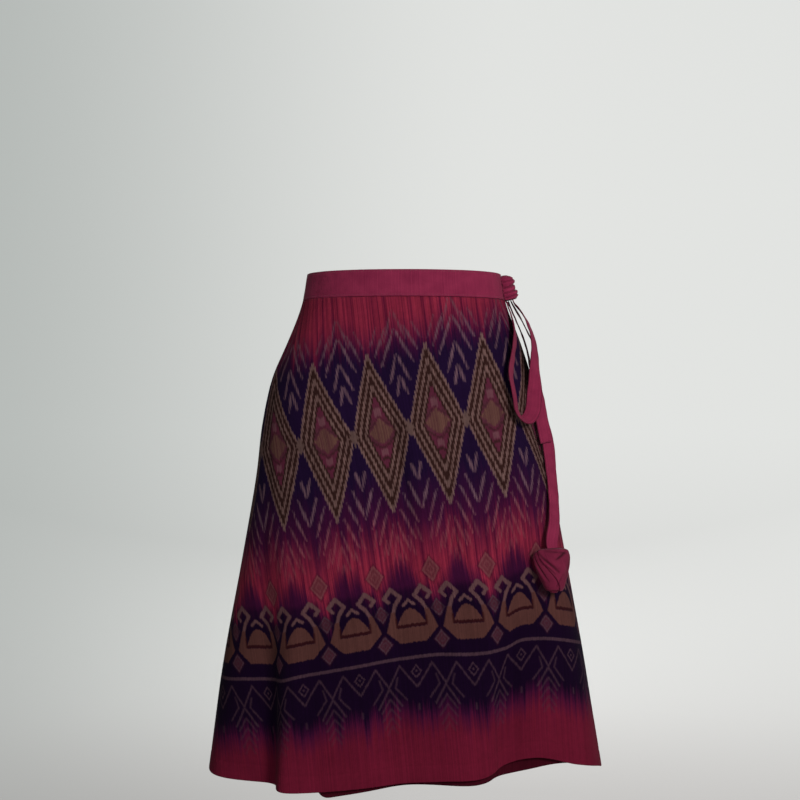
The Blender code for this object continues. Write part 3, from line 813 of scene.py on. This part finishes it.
def makePanel(name):
    panel = panels[name]
    start, end, free = panel["start"], panel["end"], panel["freeEdge"]
    seams = [seam for seam in (figure["rightSeam"], figure["leftSeam"]) if seam in (start, end)]
    turns = [np.linspace(start, end, panel["columns"])]
    for edge, columns in [(seam, cloth["seamColumns"]) for seam in seams] + [(free, cloth["edgeColumns"])]:
        if edge is not None:
            turns.append(edge + (1 if edge == start else -1) * np.array(columns) / hemLength)
    turns = np.unique(np.concatenate(turns))
    low = tableCurve(panel["hem"], turns)
    if free is not None:  # the free corner is rounded off
        corner = panel["corner"]
        fromEdge = np.clip(np.abs(turns - free) * hemLength, 0, corner)
        low = low - (corner - np.sqrt(corner ** 2 - (corner - fromEdge) ** 2))
    low = low[:, None]
    upper = cloth["top"] + np.linspace(0, 1, cloth["rows"]) * (low - 0.0265 - cloth["top"])
    drops = np.concatenate([upper, low - np.array(cloth["hemRows"])], axis=1)
    roundWay = np.repeat(turns[:, None], drops.shape[1], axis=1)
    hemAway = low - drops

    def folded(width, away, soft):
        return cloth["thickness"] + cloth["foldThickness"] * ease((width - away) / soft)

    out = relief(roundWay, drops) - lapDepth(roundWay, drops)
    stitchPull = 0.00028 + 0.00012 * wobble(roundWay * 900, hemAway * 0, 21)
    out = out - ridge(hemAway - cloth["hemFold"], 0.0016) * stitchPull
    out = out + ease((cloth["hemFold"] - hemAway) / 0.003) * 0.00018
    thick = folded(cloth["hemFold"], hemAway, 0.0014)
    closing = roundEdge(hemAway / 0.0007)  # edges close in a half round
    if free is not None:
        edgeAway = np.abs(roundWay - free) * hemLength
        out = out - 0.0002 * ridge(edgeAway - cloth["edgeFold"] * 0.82, 0.0014)
        thick = np.maximum(thick, folded(cloth["edgeFold"], edgeAway, 0.0014))
        closing = closing * roundEdge((edgeAway + 0.00005) / 0.0007)
    for seam in seams:
        seamAway = np.abs(roundWay - seam) * hemLength
        out = out - cloth["seamDip"] * ridge(seamAway, 0.0016)
        thick = np.maximum(thick, folded(cloth["seamFold"], seamAway, 0.0016))
    base, normal = figurePoint(roundWay, drops), outward(roundWay, drops)
    out = out - thick / 2
    outer, inner = (base + normal * (out + side * thick / 2 * closing)[..., None] for side in (1, -1))
    topTip, hemTip = (base[:, k] + normal[:, k] * out[:, k, None] for k in (0, -1))
    hemTip = hemTip - np.array([0, 0, 0.0001])
    points = np.concatenate([outer, hemTip[:, None], inner[:, ::-1], topTip[:, None]], axis=1)

    diamonds, stripe = (tableCurve(panel[row], turns)[:, None] for row in ("diamonds", "stripe"))
    down = ikat["diamondRow"] * ikat["squareDown"] * (1 - (drops - diamonds) / (stripe - diamonds))
    leaning = np.minimum(drops, 0.46) - 0.21 + 0.6 * np.maximum(drops - 0.46, 0)
    across = lengthRound(base, turns, panel["middle"]) - panel["lean"] * leaning - panel["columnAt"]
    if name == "frontOver":
        pulled = 0.01 * ease((-0.093 - roundWay) / 0.035) - 0.006 * ease((roundWay - 0.12) / 0.05)
        across = across + pulled * ease((drops - 0.3) / 0.3)
        rows, *bends = zip(*cloth["columnBend"])
        shift, slope, bow = (np.interp(down, rows, bend) for bend in bends)
        across = across + shift + slope * across + bow * across ** 2
    # Painted shade: the under panel is darker towards its hem, in the over panel's shadow, and the inside faces are
    # painted a fifth darker
    light = 1 + (panel["hemShade"] - 1) * ease((0.045 - hemAway) / 0.03)
    places = np.stack([across, down, light], axis=-1)
    wrongSide = places.copy()
    wrongSide[..., 2] = cloth["wrongSide"]
    places = np.concatenate([places, places[:, -1:], wrongSide[:, ::-1], places[:, :1]], axis=1)
    made = ringMesh(name, points, places, ikatCotton, thin=True)
    bindPiece(made, panel["node"])
    width, length = panel["flat"]
    width * length * cloth["share"]
    print(name, "made,", len(made.data.polygons), "faces")


for panelName in panels:
    makePanel(panelName)

waistband = {
    "height": 0.035,
    "thickness": 0.0021,
    "columns": 420,
    "flat": (0.95, 0.035),
    "seat": 0.0006,  # how far its face stands out from the panels' face
    "stitchRows": (0.0025, 0.0325),
    "rows": (0.0006, 0.0014, 0.0022, 0.003, 0.0042, 0.0075, 0.012, 0.0175, 0.023, 0.0275, 0.0308, 0.032,
             0.0328, 0.0336, 0.0344),
}


# The waistband's crown, with its two stitched dips
def bandCrown(drops):
    crown = 0.00025 * np.sin(math.pi * np.clip(drops / waistband["height"], 0, 1)) ** 0.5 - 0.0002
    return crown - sum(0.0004 * ridge(drops - row, 0.0007) for row in waistband["stitchRows"])


def bandRipple(turns, drops):
    return 0.00022 * wobble(turns * 520, drops * 90, 31) + 0.0005 * wobble(turns * 60, drops * 30, 32)


# How far the waistband's outer face stands out
def bandFace(turns, drops):
    return bandCrown(drops) + bandRipple(turns, drops) + waistband["seat"] - lapDepth(turns, drops)


def makeWaistband():
    turns = np.linspace(figure["overEdge"], figure["underEdge"], waistband["columns"])
    closing = roundEdge(np.minimum(turns - turns[0], turns[-1] - turns) * waistLength / 0.0011) * 0.96 + 0.04
    # Down the outer face, round the lower edge, up the inner face and over the top fold
    half, rows = waistband["thickness"] / 2, np.array(waistband["rows"])
    face = half + bandCrown(rows)
    down = np.concatenate([rows, [waistband["height"]], rows[::-1], [0]])
    away = np.concatenate([face, [0], -face[::-1], [0]])
    roundWay, drops = np.meshgrid(turns, down, indexing="ij")
    offset = away * closing[:, None] + bandRipple(roundWay, drops) + waistband["seat"] - half
    points = skin(roundWay, drops, offset - lapDepth(roundWay, drops))
    places = np.stack([roundWay * waistLength, drops, np.ones_like(drops)], axis=-1)
    made = ringMesh("waistStrip", points, places, plainCotton)
    bindPiece(made, "waistband")
    print("waistband made")


makeWaistband()

# The bow's strips. A lift is the clearance of a strip's nearer edge from the cloth under it, and a twist
# turns the strip about its own length, from lying flat on the cloth.
ties = {
    "tieLoop": {
        "node": "tie_loop",
        "steps": 190,
        # turn, drop, lift, twist, width
        "path": (
            (-0.229, 0.037, 0.001, 0, 0.011), (-0.2275, 0.043, 0.0012, 0, 0.012),
            (-0.212, 0.061, 0.0016, -10, 0.016), (-0.186, 0.083, 0.0018, -24, 0.02),
            (-0.163, 0.106, 0.0015, -34, 0.02), (-0.143, 0.136, 0.0012, -37, 0.02),
            (-0.1415, 0.165, 0.0012, -38, 0.02), (-0.1415, 0.184, 0.0012, -42, 0.02),
            (-0.15, 0.1955, 0.001, -48, 0.02), (-0.163, 0.192, 0.0008, -50, 0.02),
            (-0.173, 0.181, 0.0008, -52, 0.02), (-0.184, 0.162, 0.001, -50, 0.02), (-0.19, 0.136, 0.01, -18, 0.02),
            (-0.2, 0.106, 0.02, 0, 0.02), (-0.213, 0.076, 0.02, 0, 0.018), (-0.227, 0.054, 0.015, 0, 0.014),
            (-0.2325, 0.043, 0.0108, 0, 0.012), (-0.2335, 0.037, 0.0095, 0, 0.011),
        ),
        "flat": (0.021, 0.4),
    },
    "tieTailLong": {
        "node": "tie_tail_long",
        "steps": 160,
        "path": (
            (-0.244, 0.037, 0.0034, 0, 0.011), (-0.2435, 0.043, 0.0038, 0, 0.012),
            (-0.238, 0.062, 0.0048, 0, 0.016), (-0.226, 0.09, 0.006, 0, 0.02), (-0.221, 0.11, 0.0052, 0, 0.02),
            (-0.213, 0.136, 0.003, 0, 0.02), (-0.206, 0.165, 0.0026, 8, 0.02), (-0.2, 0.196, 0.0034, 26, 0.02),
            (-0.197, 0.227, 0.0038, 32, 0.02), (-0.197, 0.25, 0.0024, 27, 0.02), (-0.196, 0.268, 0.0016, 22, 0.02),
            (-0.188, 0.297, 0.0034, 14, 0.02), (-0.177, 0.325, 0.0066, 10, 0.02),
            (-0.1645, 0.346, 0.0105, 13, 0.018), (-0.161, 0.3555, 0.0116, 16, 0.0165),
            (-0.1605, 0.366, 0.0136, 16, 0.0155),
        ),
        "flat": (0.021, 0.36),
    },
    "tieTailShort": {
        "node": "tie_tail_short",
        "steps": 100,
        "path": (
            (-0.2415, 0.037, 0.0066, 0, 0.011), (-0.241, 0.043, 0.0078, 0, 0.012), (-0.239, 0.054, 0.01, 0, 0.015),
            (-0.232, 0.074, 0.013, 0, 0.018), (-0.222, 0.106, 0.015, 0, 0.02), (-0.208, 0.136, 0.007, 8, 0.02),
            (-0.196, 0.17, 0.005, 24, 0.02), (-0.19, 0.2, 0.0045, 32, 0.02), (-0.19, 0.2265, 0.0045, 32, 0.02),
        ),
        "flat": (0.021, 0.2),
    },
}
strip = {
    "thickness": 0.0016,
    "rows": (-1, -0.985, -0.95, -0.89, -0.84, -0.78, -0.55, -0.28, 0, 0.28, 0.55, 0.78, 0.84, 0.89, 0.95, 0.985, 1),
    # height, how close along and across, seed
    "ripples": ((0.00035, 330, 1.2, 50), (0.0005, 120, 0.7, 60)),
}


def tieFrames(path, steps):
    along = np.arange(len(path), dtype=float)
    at = np.linspace(0, len(path) - 1, steps)
    turn, drop, lift, twist, width = (smoothCurve(at, along, c) for c in zip(*path))
    twist = np.radians(twist)
    normal = outward(turn, drop)
    clear = lift + width / 2 * np.abs(np.sin(twist)) + strip["thickness"] / 2
    middle = figurePoint(turn, drop) + normal * clear[:, None]
    ahead = unit(np.gradient(middle, axis=0))
    flat = unit(np.cross(normal, ahead))
    across = flat * np.cos(twist)[:, None] + np.cross(ahead, flat) * np.sin(twist)[:, None]
    return middle, width, across, np.cross(ahead, across)


def makeTie(name, number):
    tie = ties[name]
    middle, width, across, out = tieFrames(tie["path"], tie["steps"])
    run = lengthAlong(middle)
    share = np.array(strip["rows"])
    away = np.abs(share)
    plump = np.sqrt(1 - away ** 14) * (1 - 0.3 * ridge(away - 0.85, 0.035))  # lower at the row of edge stitches
    ends = roundEdge(np.minimum(run, run[-1] - run) / 0.0008) * 0.95 + 0.05
    ripple = sum(height * wobble(run[:, None] * close, share[None, :] * slant, seed + number)
                 for height, close, slant, seed in strip["ripples"])
    face = strip["thickness"] / 2 * 0.94 * plump * ends[:, None]
    spine = middle[:, None] + (share * width[:, None] / 2)[..., None] * across[:, None]
    lower, upper = (spine + (ripple + side * face)[..., None] * out[:, None] for side in (-1, 1))
    points = np.concatenate([lower[:, 1:-1], upper[:, ::-1]], axis=1)
    # Painted shade: the strip is darker towards both edges, and a little along a line inside each
    light = 1 - 0.42 * ease((away - 0.8) / 0.18) - 0.12 * ridge(away - 0.6, 0.08)
    place = np.stack(np.broadcast_arrays(share * 0.01, run[:, None], light), axis=-1)
    made = ringMesh(name, points, np.concatenate([place[:, 1:-1], place[:, ::-1]], axis=1), plainCotton)
    bindPiece(made, tie["node"])
    print(name, "made,", round(run[-1], 3), "m long")


for number, tieName in enumerate(ties):
    makeTie(tieName, number)

knot = {
    # below the knot's top, half width, depth
    "rings": (
        (0, 0.008, 0.007), (0.0025, 0.0125, 0.0125), (0.009, 0.0145, 0.016), (0.016, 0.0128, 0.015),
        (0.023, 0.0148, 0.0175), (0.03, 0.014, 0.017), (0.0335, 0.0115, 0.0145),
    ),
    "turn": -0.238,
    "top": 0.0026,
    "seat": 0.00105,
    # The strip wraps over itself in slanting tucks: below the top, how deep and half how wide each is
    "tucks": ((0.0055, 0.0016, 0.0011), (0.0128, 0.0024, 0.0013), (0.02, 0.0022, 0.0012), (0.0268, 0.0014, 0.0011)),
    "slant": 0.0042,
}


def makeKnot():
    places, halfWidths, depths = zip(*knot["rings"])
    low, turned = np.meshgrid(np.linspace(0, places[-1], 70), 2 * math.pi * np.arange(96) / 96, indexing="ij")
    halfWidth, depth = smoothCurve(low, places, halfWidths), smoothCurve(low, places, depths)
    front = np.maximum(np.sin(turned), 0)
    slant = low + knot["slant"] * np.cos(turned)
    tucks = sum(0.4 * deep * ridge(slant - at - 2.2 * wide, 1.6 * wide) - deep * ridge(slant - at, wide)
                for at, deep, wide in knot["tucks"])
    fine = 0.00035 * wobble(low * 900, turned * 2, 71)
    sideways = (halfWidth + (tucks * 0.5 + fine) * (front > 0)) * np.cos(turned) / waistLength
    out = knot["seat"] + np.maximum(depth + tucks + fine, 0.002) * front ** 0.8
    points = skin(knot["turn"] - sideways, knot["top"] + low, out)
    # Painted shade in the tucks, and painted highlight on the rolls beside them
    made = ringMesh("tieKnot", points, np.stack([turned * 0.012, low, 1 + tucks * 160], axis=-1), plainCotton)
    bindPiece(made, "tie_knot")
    print("knot made")


makeKnot()

# The folded bud at the end of the long tail: a plump heart, and strips of cloth wound round it
bud = {
    # below the bud's top, half width, half depth
    "rings": (
        (0, 0.015, 0.0055), (0.0022, 0.0195, 0.0085), (0.009, 0.0233, 0.0112), (0.018, 0.023, 0.012),
        (0.0256, 0.0214, 0.0118), (0.032, 0.0193, 0.0112), (0.043, 0.0146, 0.0094), (0.053, 0.0092, 0.0066),
        (0.057, 0.0048, 0.0036),
    ),
    "turn": -0.157,
    "drop": 0.36,
    "lift": 0.0148,
    "lean": 14,
    # name, solid, angle it starts at, angles its edge runs to at top and bottom, heights at its start and edge,
    # rows it covers
    "wraps": (
        ("budWrapUnder", "bud_petal_under", 245, (62, 40), (0.0002, 0.001), (0.003, 0.053)),
        ("budWrapOver", "bud_petal_over", -65, (156, 74), (0.0002, 0.0022), (0.0022, 0.0535)),
    ),
    # Folds in the wrapping: below the top and angle where one starts, the same where it ends, half width, height
    "folds": (
        (0.015, 90, 0.0065, 52, 0.0011, -0.0016), (0.0105, 96, 0.004, 66, 0.0016, 0.0009),
        (0.021, 128, 0.033, 98, 0.001, -0.001), (0.016, 112, 0.024, 84, 0.0024, 0.0008),
        (0.023, 60, 0.044, 82, 0.003, 0.001), (0.013, 30, 0.038, 48, 0.0013, -0.0009),
        (0.01, 172, 0.042, 130, 0.0011, -0.0011), (0.008, 188, 0.04, 150, 0.0022, 0.0008),
        (0.007, 146, 0.031, 84, 0.0011, -0.0013), (0.012, 148, 0.03, 102, 0.0018, 0.0008),
        (0.033, 66, 0.05, 92, 0.001, -0.0009), (0.0045, 124, 0.0085, 44, 0.001, -0.0009),
    ),
    "wrapThickness": 0.0009,
    "flat": (0.075, 0.052),
    "share": 0.82,  # of that rectangle
    "radius": 0.018,
    # how much darker than the tie's the bud's cloth is painted, all over
    "shade": 0.66,
}
budRings = [np.array(c) for c in zip(*bud["rings"])]


def budAxes():
    middle = budRings[0][-1] / 2
    out = outward(bud["turn"], bud["drop"] + middle)
    across = unit(np.cross(out, np.array([0, 0, -1])))
    down = np.cross(across, out)
    top = skin(bud["turn"], bud["drop"] + middle, bud["lift"]) - down * middle
    lean = math.radians(bud["lean"])
    return top, across * math.cos(lean) + out * math.sin(lean), down, out * math.cos(lean) - across * math.sin(lean)


budTop, budAcross, budDown, budOut = budAxes()


def budPoint(below, around, out):
    def at(low, turned):
        halfWidth, halfDepth = (smoothCurve(low, budRings[0], c) for c in budRings[1:])
        return (budTop + (halfWidth * np.cos(turned))[..., None] * budAcross
                + (halfDepth * np.sin(turned))[..., None] * budOut + low[..., None] * budDown)
    rounded = at(below, around + 0.02) - at(below, around - 0.02)
    normal = unit(np.cross(rounded, at(below + 0.0004, around) - at(below - 0.0004, around)))
    return at(below, around) + normal * out[..., None]


# How far the wrapping stands out at each place, with painted shade in the troughs of its folds and painted highlight
# on their ridges
def budFolds(below, around):
    out, shade = 0 * below, 1
    for lowA, angleA, lowB, angleB, halfWidth, height in bud["folds"]:
        fromX, fromY = below - lowA, (around - math.radians(angleA)) * bud["radius"]
        runX, runY = lowB - lowA, math.radians(angleB - angleA) * bud["radius"]
        along = np.clip((fromX * runX + fromY * runY) / (runX ** 2 + runY ** 2), 0, 1)
        away = np.hypot(fromX - along * runX, fromY - along * runY)
        grown = ridge(away, halfWidth) * (0.35 + 0.65 * np.sin(math.pi * np.clip(along * 0.8 + 0.1, 0, 1)))
        out = out + height * grown
        shade = shade + height * (520 if height < 0 else 160) * grown
    return out, np.clip(shade, 0.3, 1.3) * bud["shade"]


def makeBudBody():
    low = budRings[0][-1] * ease(np.linspace(0.01, 0.99, 60))
    below, around = np.meshgrid(low, 2 * math.pi * np.arange(88) / 88, indexing="ij")
    crumple = 0.00045 * wobble(below * 260, around * 2, 81) - 0.0003
    # Painted shade at the top of the bud, where the tail goes in
    light = bud["shade"] * (0.62 + 0.38 * ease(below / 0.004))
    places = np.stack([around * 0.015, below, light], axis=-1)
    made = ringMesh("budBody", budPoint(below, around, crumple), places, plainCotton)
    bindPiece(made, "bud_body")


def makeBudWrap(name, node, start, ends, heights, rows):
    down = np.linspace(rows[0], rows[1], 64)
    share = np.concatenate([np.linspace(0, 0.97, 96), [0.98, 0.988, 0.994, 0.998, 1]])[:, None]
    edge = np.linspace(ends[0], ends[1], len(down)) + 4 * np.sin(np.linspace(0, 5, len(down)))
    angle = np.radians(start + (edge - start) * share)
    below = np.repeat(down[None, :], len(share), axis=0)
    rise = heights[0] + (heights[1] - heights[0]) * ease((share - 0.15) / 0.6)
    roll = 0.0007 * ridge(share - 0.965, 0.03)  # the folded edge stands a little proud
    folds, shade = budFolds(below, angle)
    soft = 0.0003 * wobble(below * 170 + angle * 3, angle * 2.4, 90)
    out = rise + roll + (soft + folds) * ease(share / 0.2)
    out = out - 0.0012 * ease((0.003 - (below - rows[0])) / 0.003)  # the top edge turns in
    thick = bud["wrapThickness"] * (roundEdge((1 - share) / 0.012) * 0.97 + 0.03)
    outer, inner = (budPoint(below, angle, out + side * thick / 2 + 0.0003) for side in (1, -1))
    tip, head = ((outer[:, k] + inner[:, k])[:, None] / 2 for k in (-1, 0))
    place = np.stack([angle * bud["radius"] + below * 0.3, below, shade], axis=-1)
    places = np.concatenate([place, place[:, -1:], place[:, ::-1], place[:, :1]], axis=1)
    made = ringMesh(name, np.concatenate([outer, tip, inner[:, ::-1], head], axis=1), places, plainCotton, thin=True)
    bindPiece(made, node)


makeBudBody()
for wrap in bud["wraps"]:
    makeBudWrap(*wrap)
print("bud made")

# Stitches that show: two rows round the waistband and one beside the free edge of the front
stitches = {
    "length": 0.0026,
    "pitch": 0.0036,
    "halfThickness": 0.00022,
    "edgeIn": 0.0074,
    "bandIn": 0.006,
    # Along a stitch: where its rings are, how thick it is there and how deep in the cloth
    "rings": ((0, 0.25, 0.0003), (0.12, 0.8, 0.000105), (0.35, 1, 0), (0.65, 1, 0), (0.88, 0.8, 0.000105),
              (1, 0.25, 0.0003)),
    "sides": 6,
}


def stitchRow(turns, drops, outs):
    line = skin(turns, drops, outs)
    run = lengthAlong(line)
    share, thick, sink = (np.array(c)[:, None] for c in zip(*stitches["rings"]))
    angles = 2 * math.pi * np.arange(stitches["sides"]) / stitches["sides"]
    rounds = []
    for start in np.arange(0.002, run[-1] - 0.005, stitches["pitch"]):
        at = start + stitches["length"] * share[:, 0]
        middle = np.stack([np.interp(at, run, line[:, k]) for k in range(3)], axis=1)
        up = outward(np.interp(at, run, turns), np.interp(at, run, drops))
        side = np.cross(up, unit(middle[-1] - middle[0]))
        ring = np.cos(angles)[:, None] * side[:, None] * 1.3 + np.sin(angles)[:, None] * up[:, None]
        ring = (middle - up * sink)[:, None] + stitches["halfThickness"] * thick[..., None] * ring
        along = np.repeat(at, len(angles))
        rounds.append((ring.reshape(-1, 3), np.stack([along, along, np.ones_like(along)], axis=-1)))
    return rounds


def makeStitches():
    turns = np.linspace(figure["overEdge"] + stitches["bandIn"], figure["underEdge"] - stitches["bandIn"], 1500)
    rounds = []
    for row in waistband["stitchRows"]:
        drops = np.full_like(turns, row)
        rounds += stitchRow(turns, drops, bandFace(turns, drops) + 0.0001)
    drops = np.linspace(0.04, tableCurve(panels["frontOver"]["hem"], figure["overEdge"]) - 0.016, 900)
    turns = np.full_like(drops, figure["overEdge"] + stitches["edgeIn"] / hemLength)
    rounds += stitchRow(turns, drops, relief(turns, drops) - 0.0001)
    points, places = (np.concatenate(part) for part in zip(*rounds))
    count, sides = len(stitches["rings"]), stitches["sides"]
    size = count * sides
    oneStitch = ringFaces(count, sides) + [list(range(sides)), list(range(size - sides, size))]
    faces = [[first + corner for corner in face] for first in range(0, len(points), size) for face in oneStitch]
    made = newMesh("stitches", points.tolist(), faces, sewingThread, places)
    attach(made, "root")
    print("stitches made:", len(rounds))


makeStitches()
